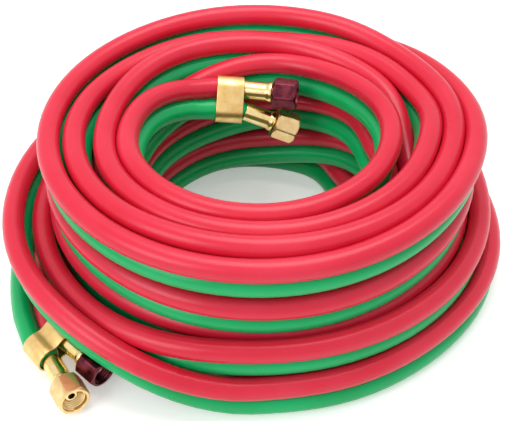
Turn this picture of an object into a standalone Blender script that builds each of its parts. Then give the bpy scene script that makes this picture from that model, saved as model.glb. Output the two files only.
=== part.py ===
"""Coiled twin gas-welding hose with its end fittings.

A fuel hose and an oxygen hose are bonded side by side and laid up as an oval coil four pairs
high. Both ends of the pair carry a brass band, two crimped ferrules, two barbed nipples and
two swivel nuts. Metres, +Z up, origin on the floor under the middle of the whole coil.
"""

import math
from collections import namedtuple

import bmesh
import bpy
from mathutils import Matrix, Vector

# ---- Hose ---------------------------------------------------------------------------------
HOSE_DIAMETER = 0.0132
CLEARANCE = 0.0003                       # gap that touching pieces keep
TWIN_SPACING = HOSE_DIAMETER + CLEARANCE
TWIN_LEAN = math.radians(11.0)           # the fuel hose leans outwards over the oxygen hose

# ---- Coil ---------------------------------------------------------------------------------
COIL_AXIS = Vector((0.0031, 0.0009, 0.0))
COIL_OVALITY = 0.936                     # front-to-back over side-to-side
ROW_PITCH = 0.0264                       # height that one row of bonded pairs adds
TOP_TURNS = (0.0772, 0.0945, 0.1107, 0.1242)
Row = namedtuple("Row", "first_turn last_turn")
ROWS = (                                 # fuel hose turns of each row, floor first
    Row(0.0837, 0.1215),
    Row(0.0817, 0.1343),
    Row(0.0803, 0.1229),
    Row(TOP_TURNS[0], TOP_TURNS[-1]),
)
RING_STEPS = 36
SIDE_STEPS = 4                           # facets round the bulge of a row's side

# ---- Loose ends: centre line of the pair from the coil's axis, height of its lower hose ----
Station = namedtuple("Station", "x y low roll")
INNER_ROUTE = (
    Station(-0.0775, -0.0135, 0.0858, 11),
    Station(-0.0755, 0.0055, 0.0850, 11),
    Station(-0.0690, 0.0232, 0.0848, 14),
    Station(-0.0565, 0.0350, 0.0835, 20),
    Station(-0.0405, 0.0435, 0.0800, 30),
)
OUTER_ROUTE = (
    Station(0.0070, 0.1200, 0.0338, -11),
    Station(-0.0405, 0.1220, 0.0338, -11),
    Station(-0.0865, 0.1060, 0.0338, -11),
    Station(-0.1255, 0.0730, 0.0330, -11),
    Station(-0.1475, 0.0270, 0.0330, -11),
    Station(-0.1510, -0.0080, 0.0330, -11),
    Station(-0.1450, -0.0445, 0.0330, -11),
    Station(-0.1310, -0.0730, 0.0330, -11),
    Station(-0.1150, -0.0920, 0.0324, -11),
    Station(-0.0905, -0.1118, 0.0292, -11),
    Station(-0.0625, -0.1245, 0.0200, -11),
    Station(-0.0340, -0.1300, 0.0112, -11),
    Station(-0.0030, -0.1305, 0.0068, -11),
    Station(0.0505, -0.1255, 0.0066, -11),
    Station(0.0805, -0.1125, 0.0066, -11),
    Station(0.1125, -0.0880, 0.0066, -11),
    Station(0.1375, -0.0470, 0.0066, -11),
    Station(0.1450, -0.0040, 0.0066, -11),
    Station(0.1375, 0.0430, 0.0066, -11),
    Station(0.1135, 0.0865, 0.0066, -11),
    Station(0.0700, 0.1175, 0.0066, -11),
    Station(0.0135, 0.1295, 0.0066, -11),
    Station(-0.0460, 0.1240, 0.0066, 0),
    Station(-0.0945, 0.1010, 0.0066, 30),
    Station(-0.1280, 0.0610, 0.0066, 60),
    Station(-0.1425, 0.0135, 0.0066, 85),
    Station(-0.1440, -0.0270, 0.0066, 88),
    Station(-0.1395, -0.0510, 0.0072, 84),
    Station(-0.1352, -0.0702, 0.0086, 77),
)
ROUTE_STEP = 0.036                       # distance between the points of a hose end
HOSE_FACETS = 3                          # bevel resolution of a hose end

# ---- Bands ----------------------------------------------------------------------------------
BAND_WIDTH = 0.0170
BAND_WALL = 0.0011
BAND_ARC_STEPS = 10

# ---- Ferrules and nipples: heights run along the fitting from the ferrule's mouth ---------
FERRULE_LENGTH = 0.0200
FERRULE_DIAMETER = 0.0116
FERRULE_WALL = 0.0007
FERRULE_LIP = 0.0131                     # diameter over the rolled lip
FERRULE_LIP_LENGTH = 0.0020
FERRULE_FLARE = 0.0018                   # length over which the lip grows
FERRULE_END_WALL = 0.0014
SHOULDER_SETBACK = 0.0030                # where the hose starts to neck, before the mouth
NIPPLE_BORE = 0.0040
NIPPLE_STEM = 0.0058
BARB_DIAMETER = 0.0070
BARB_COUNT = 3
BARB_PITCH = 0.0044
NIPPLE_COLLAR = 0.0096
NIPPLE_COLLAR_LENGTH = 0.0016
NIPPLE_NECK = 0.0086
SEAT_DIAMETER = 0.0116                   # shoulder that the nut pulls against
SEAT_LENGTH = 0.0022
SEAT_CONE = 0.0034
SEAT_TIP = 0.0074
TURNED_STEPS = 20

# ---- Swivel nuts ----------------------------------------------------------------------------
NUT_ACROSS_FLATS = 0.01746
NUT_ACROSS_CORNERS = 0.0196              # the bar's corners are rolled slightly round
NUT_LENGTH = 0.0150
NUT_BACK_WALL = 0.0045
NUT_THREAD_BORE = 0.0128
NUT_MOUTH = 0.0146                       # diameter of the thread's lead-in at the mouth
NUT_LEAD_IN = 0.0009
NUT_CHAMFER = 0.0013
NUT_END_GAP = 0.0006                     # running gap behind the nut
NUT_RUNNING_CLEARANCE = 0.0004           # round the nipple's neck

# ---- Hose ends: where the band sits and how the two fittings point ------------------------
Fitting = namedtuple("Fitting", "mouth splay rise nut_turn")
End = namedtuple("End", "name route band heading roll waist fuel oxygen")
ENDS = (
    End("inner_end", INNER_ROUTE, (-0.0198, 0.0462, 0.0836), (0.985, 0.05, -0.12), 36, 0.0,
        Fitting(0.0075, -0.03, 0.26, 22), Fitting(0.0100, -0.285, -0.11, 26)),
    End("outer_end", OUTER_ROUTE, (-0.1222, -0.0925, 0.0112), (0.65, -0.76, -0.02), 73, 0.0016,
        Fitting(0.0028, 0.110, -0.09, 14), Fitting(0.0098, -0.148, 0.165, 6)),
)

FUEL_RED = (0.86, 0.045, 0.10)
OXYGEN_GREEN = (0.006, 0.42, 0.11)
YELLOW_BRASS = (0.83, 0.62, 0.24)
LACQUERED_MAROON = (0.075, 0.010, 0.018)

parts = bpy.data.collections.new("twin_welding_hose_coil")
cutters = bpy.data.collections.new("cutters")


# ---- Scene helpers --------------------------------------------------------------------------
def clear_scene():
    """Remove what the file holds and add the collections and the coil's axis."""
    for obj in list(bpy.data.objects):
        bpy.data.objects.remove(obj, do_unlink=True)
    bpy.context.scene.collection.children.link(parts)
    bpy.context.scene.collection.children.link(cutters)
    axis = bpy.data.objects.new("coil_axis", None)
    axis.location = COIL_AXIS
    parts.objects.link(axis)
    return axis


def make_material(name, colour, roughness, metallic):
    """Plain Principled material."""
    material = bpy.data.materials.new(name)
    material.use_nodes = True
    shader = material.node_tree.nodes["Principled BSDF"]
    shader.inputs["Base Color"].default_value = (*colour, 1.0)
    shader.inputs["Roughness"].default_value = roughness
    shader.inputs["Metallic"].default_value = metallic
    return material


def add_part(name, data, material, parent, placement=None):
    """Link a named piece below its parent."""
    obj = bpy.data.objects.new(name, data)
    parts.objects.link(obj)
    data.materials.clear()
    data.materials.append(material)
    obj.parent = parent
    if placement is not None:
        obj.matrix_local = placement
    return obj


def add_cutter(name, data, parent, placement=None):
    """Link a tool body that is hidden from renders."""
    obj = bpy.data.objects.new(name, data)
    cutters.objects.link(obj)
    obj.parent = parent
    if placement is not None:
        obj.matrix_local = placement
    obj.hide_render = True
    obj.display_type = "WIRE"
    return obj


def cut(obj, cutter, operation="DIFFERENCE"):
    """Add an exact Boolean to a piece."""
    boolean = obj.modifiers.new(cutter.name, "BOOLEAN")
    boolean.object = cutter
    boolean.operation = operation
    boolean.solver = "EXACT"


def section_mesh(name, section):
    """Closed half section in the XZ plane, from (radius, height) points."""
    mesh = bpy.data.meshes.new(name)
    count = len(section)
    mesh.from_pydata(
        [(radius, 0.0, height) for radius, height in section],
        [(index, (index + 1) % count) for index in range(count)],
        [],
    )
    return mesh


def turn(obj, steps):
    """Turn a half section all the way round the piece's own Z axis."""
    screw = obj.modifiers.new("turned", "SCREW")
    screw.axis = "Z"
    screw.angle = math.tau
    screw.steps = steps
    screw.render_steps = steps
    screw.use_merge_vertices = True
    screw.merge_threshold = 0.00001
    screw.use_smooth_shade = True


# ---- Coil -----------------------------------------------------------------------------------
def arc(radius_at, height_at, half_width, half_height, start, end, steps):
    """Points of an elliptical arc, angles in radians from the outward direction."""
    angles = [start + (end - start) * step / steps for step in range(steps + 1)]
    return [(radius_at + half_width * math.cos(angle), height_at + half_height * math.sin(angle))
            for angle in angles]


def row_section(first_turn, last_turn, bottom, top):
    """Half section of a row: flat above and below, bulging at the inner and outer turns."""
    middle, half = (top + bottom) / 2, (top - bottom) / 2
    bulge = HOSE_DIAMETER / 2
    quarter = math.pi / 2
    outer = arc(last_turn, middle, bulge, half, quarter, -quarter, SIDE_STEPS)
    inner = arc(first_turn, middle, bulge, half, -quarter, -3 * quarter, SIDE_STEPS)
    return outer + inner


def crowned_section(turns, bottom, centre):
    """Half section of the top row, whose upper side shows every turn of the hose."""
    radius = HOSE_DIAMETER / 2
    half = centre - bottom
    quarter = math.pi / 2
    side_steps = SIDE_STEPS // 2
    section = arc(turns[-1], centre, radius, half, 0.0, -quarter, side_steps)
    section += arc(turns[0], centre, radius, half, -quarter, -2 * quarter, side_steps)
    start = math.pi
    for index, turn_radius in enumerate(turns):
        last = index == len(turns) - 1
        gap = math.inf if last else turns[index + 1] - turn_radius
        valley = math.acos(min(1.0, gap / HOSE_DIAMETER))
        section += arc(turn_radius, centre, radius, radius, start, valley, SIDE_STEPS)[1:]
        start = math.pi - valley
        if gap > HOSE_DIAMETER and not last:
            section.append((turns[index + 1] - radius, centre))
    return section[:-1]


def row_heights(index):
    """Bottom, seam and top of a row of bonded pairs."""
    bottom = index * ROW_PITCH
    seam = bottom + HOSE_DIAMETER / 2 + TWIN_SPACING * math.cos(TWIN_LEAN) / 2
    return bottom, seam, bottom + ROW_PITCH


def build_coil(axis, fuel_rubber, oxygen_rubber):
    """Stack the rows, each an oxygen ring under a fuel ring."""
    lean = TWIN_SPACING * math.sin(TWIN_LEAN)
    half_gap = CLEARANCE / 2
    for index, row in enumerate(ROWS):
        bottom, seam, top = row_heights(index)
        lower = bottom if index == 0 else bottom + half_gap
        oxygen = row_section(row.first_turn - lean, row.last_turn - lean, lower, seam - half_gap)
        if index == len(ROWS) - 1:
            centre = bottom + HOSE_DIAMETER / 2 + TWIN_SPACING * math.cos(TWIN_LEAN)
            fuel = crowned_section(TOP_TURNS, seam + half_gap, centre)
        else:
            fuel = row_section(row.first_turn, row.last_turn, seam + half_gap, top - half_gap)
        for gas, section, rubber in (("oxygen", oxygen, oxygen_rubber), ("fuel", fuel, fuel_rubber)):
            name = f"{gas}_coil_row_{index + 1}"
            ring = add_part(name, section_mesh(name, section), rubber, axis)
            ring.scale = (1.0, COIL_OVALITY, 1.0)
            turn(ring, RING_STEPS)


def build_coil_cutter(axis):
    """One body round all the rows, a clearance larger, that trims the hose ends."""
    lean = TWIN_SPACING * math.sin(TWIN_LEAN)
    reach = HOSE_DIAMETER / 2 + CLEARANCE
    quarter = math.pi / 2
    outer, inner = [], []
    for index, row in enumerate(ROWS):
        bottom, seam, top = row_heights(index)
        if index == len(ROWS) - 1:
            top = bottom + HOSE_DIAMETER + TWIN_SPACING * math.cos(TWIN_LEAN) + CLEARANCE
        for low, high, inset in ((bottom, seam, lean), (seam, top, 0.0)):
            middle, half = (low + high) / 2, (high - low) / 2
            outer.append(arc(row.last_turn - inset, middle, reach, half, quarter, -quarter, SIDE_STEPS))
            inner.append(arc(row.first_turn - inset, middle, reach, half,
                             -quarter, -3 * quarter, SIDE_STEPS))
    section = [point for side in reversed(outer) for point in side]
    section += [point for side in inner for point in side]
    cutter = add_cutter("coil_envelope", section_mesh("coil_envelope", section), axis)
    cutter.scale = (1.0, COIL_OVALITY, 1.0)
    turn(cutter, RING_STEPS)
    return cutter


# ---- Hose ends ------------------------------------------------------------------------------
def station_frame(station, ahead):
    """Centre of the pair at a station and the direction from the oxygen to the fuel hose."""
    roll = math.radians(station.roll)
    inwards = Vector((-ahead.y, ahead.x, 0.0)).normalized()
    to_fuel = Vector((0.0, 0.0, math.cos(roll))) + inwards * math.sin(roll)
    centre = Vector((station.x, station.y, station.low + TWIN_SPACING / 2 * abs(math.cos(roll))))
    return centre, to_fuel


def band_frame(end):
    """Centre, heading and oxygen-to-fuel direction of an end's band."""
    heading = Vector(end.heading).normalized()
    roll = math.radians(end.roll)
    inwards = Vector((-heading.y, heading.x, 0.0)).normalized()
    to_fuel = Vector((0.0, 0.0, math.cos(roll))) + inwards * math.sin(roll)
    to_fuel = (to_fuel - heading * to_fuel.dot(heading)).normalized()
    return Vector(end.band), heading, to_fuel


def smooth_curve(points, step):
    """Points about a step apart on a Catmull-Rom curve through the given points."""
    padded = [2 * points[0] - points[1], *points, 2 * points[-1] - points[-2]]
    result = []
    for before, start, finish, after in zip(padded, padded[1:], padded[2:], padded[3:]):
        pieces = max(1, round((finish - start).length / step))
        for piece in range(pieces):
            t = piece / pieces
            result.append(0.5 * (2 * start + (finish - before) * t
                                 + (2 * before - 5 * start + 4 * finish - after) * t ** 2
                                 + (3 * start - before - 3 * finish + after) * t ** 3))
    return result + [points[-1]]


def fitting_frame(end, fitting, side):
    """Placement of a fitting: its ferrule's mouth at the origin, +Z out of the nut."""
    centre, heading, to_fuel = band_frame(end)
    mouth = centre + to_fuel * side * TWIN_SPACING / 2 + heading * fitting.mouth
    direction = (heading + to_fuel * fitting.splay + heading.cross(to_fuel) * fitting.rise).normalized()
    across = (to_fuel - direction * to_fuel.dot(direction)).normalized()
    columns = (across, direction.cross(across), direction)
    return Matrix.Translation(mouth) @ Matrix(columns).transposed().to_4x4()


def hose_end_points(end, fitting, side):
    """Centre line and thickness factors of one hose of an end, coil side first."""
    stations = []
    for index, station in enumerate(end.route):
        nearby = end.route[max(0, index - 1)], end.route[min(len(end.route) - 1, index + 1)]
        ahead = Vector((nearby[1].x - nearby[0].x, nearby[1].y - nearby[0].y, 0.0))
        centre, to_fuel = station_frame(station, ahead)
        stations.append(centre + to_fuel * side * TWIN_SPACING / 2)
    centre, heading, to_fuel = band_frame(end)
    in_band = centre + to_fuel * side * TWIN_SPACING / 2
    stations.append(in_band - heading * BAND_WIDTH * 0.6)
    points = smooth_curve(stations, ROUTE_STEP)
    frame = fitting_frame(end, fitting, side)
    neck = (FERRULE_DIAMETER - 2 * (FERRULE_WALL + CLEARANCE)) / HOSE_DIAMETER
    factors = [1.0] * (len(points) + 1) + [neck, neck]
    grip = FERRULE_LENGTH - FERRULE_END_WALL - NIPPLE_COLLAR_LENGTH - 3 * CLEARANCE
    points.append(in_band + heading * (fitting.mouth - SHOULDER_SETBACK))
    points.append(frame @ Vector((0.0, 0.0, -3 * CLEARANCE)))
    points.append(frame @ Vector((0.0, 0.0, grip)))
    return points, factors


def tube_mesh(name, points, factors, parent):
    """Tube through the points, made a mesh so that it can be trimmed and bored."""
    curve = bpy.data.curves.new(name, "CURVE")
    curve.dimensions = "3D"
    curve.bevel_depth = HOSE_DIAMETER / 2
    curve.bevel_resolution = HOSE_FACETS
    curve.use_fill_caps = True
    spline = curve.splines.new("POLY")
    spline.points.add(len(points) - 1)
    for target, point, factor in zip(spline.points, points, factors):
        target.co = (*point, 1.0)
        target.radius = factor
    guide = bpy.data.objects.new(name + "_guide", curve)
    parts.objects.link(guide)
    guide.parent = parent
    bpy.context.view_layer.update()
    mesh = bpy.data.meshes.new_from_object(guide.evaluated_get(bpy.context.evaluated_depsgraph_get()))
    bpy.data.objects.remove(guide, do_unlink=True)
    shape = bmesh.new()
    shape.from_mesh(mesh)
    bmesh.ops.remove_doubles(shape, verts=shape.verts, dist=0.00001)
    bmesh.ops.recalc_face_normals(shape, faces=shape.faces)
    shape.to_mesh(mesh)
    shape.free()
    mesh.shade_smooth()
    mesh.set_sharp_from_angle(angle=math.radians(50))
    return mesh


def build_hose_end(end, gas, fitting, side, parent, rubber, envelope):
    """One hose from the coil's side to its ferrule, necked and bored for the barbs."""
    name = f"{gas}_hose_{end.name}"
    points, factors = hose_end_points(end, fitting, side)
    hose = add_part(name, tube_mesh(name, points, factors, parent), rubber, parent)
    cut(hose, envelope)
    bore = cylinder_mesh(name + "_bore", BARB_DIAMETER / 2 + CLEARANCE, FERRULE_LENGTH)
    socket = add_cutter(name + "_bore", bore, parent,
                        fitting_frame(end, fitting, side) @ Matrix.Translation((0, 0, 0.0015)))
    cut(hose, socket)


def hexagon_mesh(name, length):
    """Hexagon bar with rolled corners standing on the origin."""
    sharp, rolled = NUT_ACROSS_FLATS / math.sqrt(3), NUT_ACROSS_CORNERS / 2
    bar = bmesh.new()
    bmesh.ops.create_cone(bar, cap_ends=True, segments=6, radius1=sharp, radius2=sharp, depth=length,
                          matrix=Matrix.Translation((0, 0, length / 2)))
    corners = [edge for edge in bar.edges if abs(edge.verts[0].co.z - edge.verts[1].co.z) > length / 2]
    bmesh.ops.bevel(bar, geom=corners, offset=(sharp - rolled) / math.cos(math.radians(60)),
                    offset_type="OFFSET", segments=1, profile=0.5, affect="EDGES")
    mesh = bpy.data.meshes.new(name)
    bar.to_mesh(mesh)
    bar.free()
    return mesh


def cylinder_mesh(name, radius, length, segments=TURNED_STEPS):
    """Closed prism or cylinder standing on the origin."""
    shape = bmesh.new()
    bmesh.ops.create_cone(shape, cap_ends=True, segments=segments, radius1=radius, radius2=radius,
                          depth=length,
                          matrix=Matrix.Translation((0, 0, length / 2)))
    mesh = bpy.data.meshes.new(name)
    shape.to_mesh(mesh)
    shape.free()
    return mesh


# ---- Bands ----------------------------------------------------------------------------------
def band_outline(offset, waist):
    """Outline round the pair, pressed in by the waist between the two hoses."""
    radius = HOSE_DIAMETER / 2 + offset
    half = TWIN_SPACING / 2
    outline = []
    for side in (1, -1):
        for step in range(BAND_ARC_STEPS + 1):
            angle = math.pi * (step / BAND_ARC_STEPS - 0.5)
            outline.append((side * (half + radius * math.cos(angle)), side * radius * math.sin(angle)))
        for step in range(1, 6):
            across = half * (1 - step / 3)
            dip = waist * (1 + math.cos(math.pi * across / half)) / 2
            outline.append((side * across, side * (radius - dip)))
    return outline


def build_band(end, parent, brass):
    """Strap closed round both hoses: outer outline with the inner one as its hole."""
    name = f"band_{end.name}"
    curve = bpy.data.curves.new(name, "CURVE")
    curve.dimensions = "2D"
    curve.fill_mode = "BOTH"
    curve.extrude = BAND_WIDTH / 2
    for offset in (CLEARANCE + BAND_WALL, CLEARANCE):
        outline = band_outline(offset, end.waist)
        spline = curve.splines.new("POLY")
        spline.points.add(len(outline) - 1)
        spline.use_cyclic_u = True
        for target, (across, up) in zip(spline.points, outline):
            target.co = (across, up, 0.0, 1.0)
    centre, heading, to_fuel = band_frame(end)
    columns = (to_fuel, heading.cross(to_fuel), heading)
    placement = Matrix.Translation(centre) @ Matrix(columns).transposed().to_4x4()
    add_part(name, curve, brass, parent, placement)


# ---- Fittings ---------------------------------------------------------------------------------
def ferrule_section():
    """Crimped sleeve with a rolled lip and an end wall that closes on the nipple's neck."""
    outside, lip = FERRULE_DIAMETER / 2, FERRULE_LIP / 2
    inside = outside - FERRULE_WALL
    hole = NIPPLE_NECK / 2 + CLEARANCE
    lip_start = FERRULE_LENGTH - FERRULE_LIP_LENGTH
    edge = 0.0005
    return [
        (hole, FERRULE_LENGTH),
        (lip - edge, FERRULE_LENGTH),
        (lip, FERRULE_LENGTH - edge),
        (lip, lip_start + edge),
        (outside, lip_start - FERRULE_FLARE),
        (outside, edge),
        (outside - edge / 2, 0.0),
        (inside, 0.0),
        (inside, FERRULE_LENGTH - FERRULE_END_WALL),
        (hole, FERRULE_LENGTH - FERRULE_END_WALL),
    ]


def nipple_section():
    """Seat, neck, collar and barbed stem of a nipple, with its gas way."""
    bore, neck, stem = NIPPLE_BORE / 2, NIPPLE_NECK / 2, NIPPLE_STEM / 2
    seat_start = FERRULE_LENGTH + NUT_END_GAP + NUT_BACK_WALL + CLEARANCE
    collar_top = FERRULE_LENGTH - FERRULE_END_WALL - CLEARANCE
    collar_bottom = collar_top - NIPPLE_COLLAR_LENGTH
    section = [
        (bore, seat_start + SEAT_LENGTH + SEAT_CONE),
        (SEAT_TIP / 2, seat_start + SEAT_LENGTH + SEAT_CONE),
        (SEAT_DIAMETER / 2, seat_start + SEAT_LENGTH),
        (SEAT_DIAMETER / 2, seat_start),
        (neck, seat_start),
        (neck, collar_top),
        (NIPPLE_COLLAR / 2, collar_top),
        (NIPPLE_COLLAR / 2, collar_bottom),
        (stem, collar_bottom),
    ]
    tail = collar_bottom - 0.0010
    for _ in range(BARB_COUNT):
        section += [(stem, tail), (BARB_DIAMETER / 2, tail - 0.0004), (stem, tail - BARB_PITCH * 0.8)]
        tail -= BARB_PITCH
    section += [(stem, tail), (bore, tail)]
    return section


def nut_section():
    """Turned blank of a swivel nut: chamfered outside, back hole, thread bore and lead-in."""
    back = FERRULE_LENGTH + NUT_END_GAP
    front = back + NUT_LENGTH
    corner = NUT_ACROSS_FLATS / math.sqrt(3)
    blank = corner + 0.0004
    face = NUT_ACROSS_FLATS / 2 - 0.0003
    hole = NIPPLE_NECK / 2 + NUT_RUNNING_CLEARANCE
    thread, mouth = NUT_THREAD_BORE / 2, NUT_MOUTH / 2
    return [
        (mouth, front),
        (face, front),
        (blank, front - NUT_CHAMFER),
        (blank, back + NUT_CHAMFER),
        (face, back),
        (hole, back),
        (hole, back + NUT_BACK_WALL),
        (thread, back + NUT_BACK_WALL),
        (thread, front - NUT_LEAD_IN),
    ]


def build_fitting(end, gas, fitting, side, parent, brass, nut_finish):
    """Ferrule, nipple and swivel nut on one hose end."""
    frame = fitting_frame(end, fitting, side)
    for piece, section in (("ferrule", ferrule_section()), ("nipple", nipple_section())):
        name = f"{gas}_{piece}_{end.name}"
        turned = add_part(name, section_mesh(name, section), brass, parent, frame)
        turn(turned, TURNED_STEPS)
    name = f"{gas}_nut_{end.name}"
    frame = frame @ Matrix.Rotation(math.radians(fitting.nut_turn), 4, "Z")
    nut = add_part(name, section_mesh(name, nut_section()), nut_finish, parent, frame)
    turn(nut, TURNED_STEPS)
    hexagon = add_cutter(name + "_flats", hexagon_mesh(name + "_flats", NUT_LENGTH + 2 * NUT_CHAMFER), parent,
                         frame @ Matrix.Translation((0, 0, FERRULE_LENGTH + NUT_END_GAP - NUT_CHAMFER)))
    cut(nut, hexagon, "INTERSECT")


def build():
    """Build the whole coil."""
    axis = clear_scene()
    fuel_rubber = make_material("fuel_hose_rubber", FUEL_RED, 0.45, 0.0)
    oxygen_rubber = make_material("oxygen_hose_rubber", OXYGEN_GREEN, 0.45, 0.0)
    brass = make_material("yellow_brass", YELLOW_BRASS, 0.28, 1.0)
    maroon = make_material("maroon_lacquered_brass", LACQUERED_MAROON, 0.35, 0.5)
    build_coil(axis, fuel_rubber, oxygen_rubber)
    envelope = build_coil_cutter(axis)
    for end in ENDS:
        build_band(end, axis, brass)
        for gas, fitting, side, rubber, nut_finish in (
            ("fuel", end.fuel, 1, fuel_rubber, maroon),
            ("oxygen", end.oxygen, -1, oxygen_rubber, brass),
        ):
            build_hose_end(end, gas, fitting, side, axis, rubber, envelope)
            build_fitting(end, gas, fitting, side, axis, brass, nut_finish)


build()
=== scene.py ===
"""Looks of a coiled twin gas-welding hose: rubber hoses, brass bands, ferrules and swivel nuts.

Lengths are in metres and angles in degrees, unless a name says otherwise. +Z is up.
"""

import logging
import math
from dataclasses import dataclass
from enum import Enum
from typing import NamedTuple, Sequence

import bmesh
import bpy
import numpy as np
from mathutils import Matrix, Vector


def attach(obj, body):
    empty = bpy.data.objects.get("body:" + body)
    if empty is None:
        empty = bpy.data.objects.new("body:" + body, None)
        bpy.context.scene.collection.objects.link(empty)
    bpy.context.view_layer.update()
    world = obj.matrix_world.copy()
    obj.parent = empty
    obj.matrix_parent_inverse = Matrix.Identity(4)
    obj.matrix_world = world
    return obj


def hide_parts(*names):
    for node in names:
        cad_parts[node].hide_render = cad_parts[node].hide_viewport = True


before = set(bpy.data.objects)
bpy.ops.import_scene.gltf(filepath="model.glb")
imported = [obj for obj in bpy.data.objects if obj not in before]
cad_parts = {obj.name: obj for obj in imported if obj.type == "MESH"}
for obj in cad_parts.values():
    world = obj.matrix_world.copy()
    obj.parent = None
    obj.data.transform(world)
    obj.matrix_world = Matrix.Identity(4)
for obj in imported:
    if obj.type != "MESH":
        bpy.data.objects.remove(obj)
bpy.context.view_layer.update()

log = logging.getLogger("welding_hose")


# ---- Shared shop tools ------------------------------------------------------------------------
class Gas(Enum):
    """Which gas a hose and its fittings carry, with the side of the pair it lies on."""

    FUEL = 1
    OXYGEN = -1

    @property
    def label(self) -> str:
        """Name used in the node names."""
        return self.name.lower()

    @property
    def thread_hand(self) -> int:
        """1 for a right-hand thread, -1 for the left-hand thread of fuel fittings."""
        return -self.value


def hex_colour(code: str) -> tuple[float, float, float, float]:
    """Turn an sRGB hex code into a linear colour.

    Args:
        code: Six hex digits.

    Returns:
        Linear red, green, blue and full alpha.
    """
    channels = [int(code[index:index + 2], 16) / 255 for index in (0, 2, 4)]
    linear = [value / 12.92 if value <= 0.04045 else ((value + 0.055) / 1.055) ** 2.4
              for value in channels]
    return (*linear, 1.0)


def add_node(tree: bpy.types.NodeTree, kind: str, settings: dict | None = None,
             inputs: dict | None = None) -> bpy.types.Node:
    """Add a shader node with its settings, values and links.

    Args:
        tree: Node tree to add to.
        kind: Node type without the ShaderNode prefix.
        settings: Node properties by name.
        inputs: Values or output sockets by input name or number.

    Returns:
        The new node.
    """
    node = tree.nodes.new(f"ShaderNode{kind}")
    for name, value in (settings or {}).items():
        setattr(node, name, value)
    for name, value in (inputs or {}).items():
        if isinstance(value, bpy.types.NodeSocket):
            tree.links.new(value, node.inputs[name])
        else:
            node.inputs[name].default_value = value
    return node


def colour_ramp(tree: bpy.types.NodeTree, factor: bpy.types.NodeSocket,
                stops: Sequence[tuple[float, tuple]]) -> bpy.types.NodeSocket:
    """Map a factor through colour stops.

    Args:
        tree: Node tree to add to.
        factor: Socket that drives the ramp.
        stops: Position and linear colour of each stop, low to high.

    Returns:
        The ramp's colour output.
    """
    ramp = add_node(tree, "ValToRGB", inputs={"Fac": factor})
    elements = ramp.color_ramp.elements
    elements[0].position, elements[0].color = stops[0]
    elements[1].position, elements[1].color = stops[-1]
    for position, colour in stops[1:-1]:
        elements.new(position).color = colour
    return ramp.outputs["Color"]


def grey(level: float) -> tuple[float, float, float, float]:
    """Linear grey of a level."""
    return (level, level, level, 1.0)


def finish_piece(name: str, shape: bmesh.types.BMesh, placement: Matrix, material: bpy.types.Material,
                 smooth_below: float = 40.0) -> bpy.types.Object:
    """Turn a shape into a finished piece whose place is in its mesh.

    Args:
        name: Piece name.
        shape: Shape in the piece's own frame; it is freed.
        placement: From the piece's own frame to the row frame.
        material: Its finish.
        smooth_below: Edges that turn less than this are shaded smooth.

    Returns:
        The linked object.
    """
    bmesh.ops.transform(shape, matrix=placement, verts=shape.verts)
    mesh = bpy.data.meshes.new(name)
    shape.to_mesh(mesh)
    shape.free()
    mesh.shade_smooth()
    mesh.set_sharp_from_angle(angle=math.radians(smooth_below))
    mesh.materials.append(material)
    piece = bpy.data.objects.new(name, mesh)
    bpy.context.scene.collection.objects.link(piece)
    log.info("%s: %d faces", name, len(mesh.polygons))
    return piece


def turned(section: Sequence[tuple[float, float]], steps: int) -> bmesh.types.BMesh:
    """Turn a closed half section round the Z axis.

    Args:
        section: Radius and height of each corner, in order round the section.
        steps: Facets round the axis.

    Returns:
        A closed shape with its faces outwards.
    """
    shape = bmesh.new()
    corners = [shape.verts.new((radius, 0.0, height)) for radius, height in section]
    edges = [shape.edges.new((corners[index - 1], corners[index])) for index in range(len(corners))]
    bmesh.ops.spin(shape, geom=corners + edges, cent=(0, 0, 0), axis=(0, 0, 1), angle=math.tau,
                   steps=steps, use_merge=True)
    bmesh.ops.recalc_face_normals(shape, faces=shape.faces)
    return shape


def rounded(corners: Sequence[tuple[float, float, float]], steps: int = 5) -> list[tuple[float, float]]:
    """Round the corners of a closed section.

    Args:
        corners: Radius, height and corner radius of each corner.
        steps: Points on each rounded corner.

    Returns:
        Points of the rounded section.
    """
    points = []
    count = len(corners)
    for index, (radius, height, fillet) in enumerate(corners):
        here = Vector((radius, height))
        if fillet <= 0:
            points.append((radius, height))
            continue
        before = (Vector(corners[index - 1][:2]) - here).normalized()
        after = (Vector(corners[(index + 1) % count][:2]) - here).normalized()
        half = before.angle(after) / 2
        reach = fillet / math.tan(half)
        start, end = here + before * reach, here + after * reach
        for step in range(steps + 1):
            t = step / steps
            bend = start.lerp(here, t).lerp(here.lerp(end, t), t)
            points.append((bend.x, bend.y))
    return points


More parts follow.
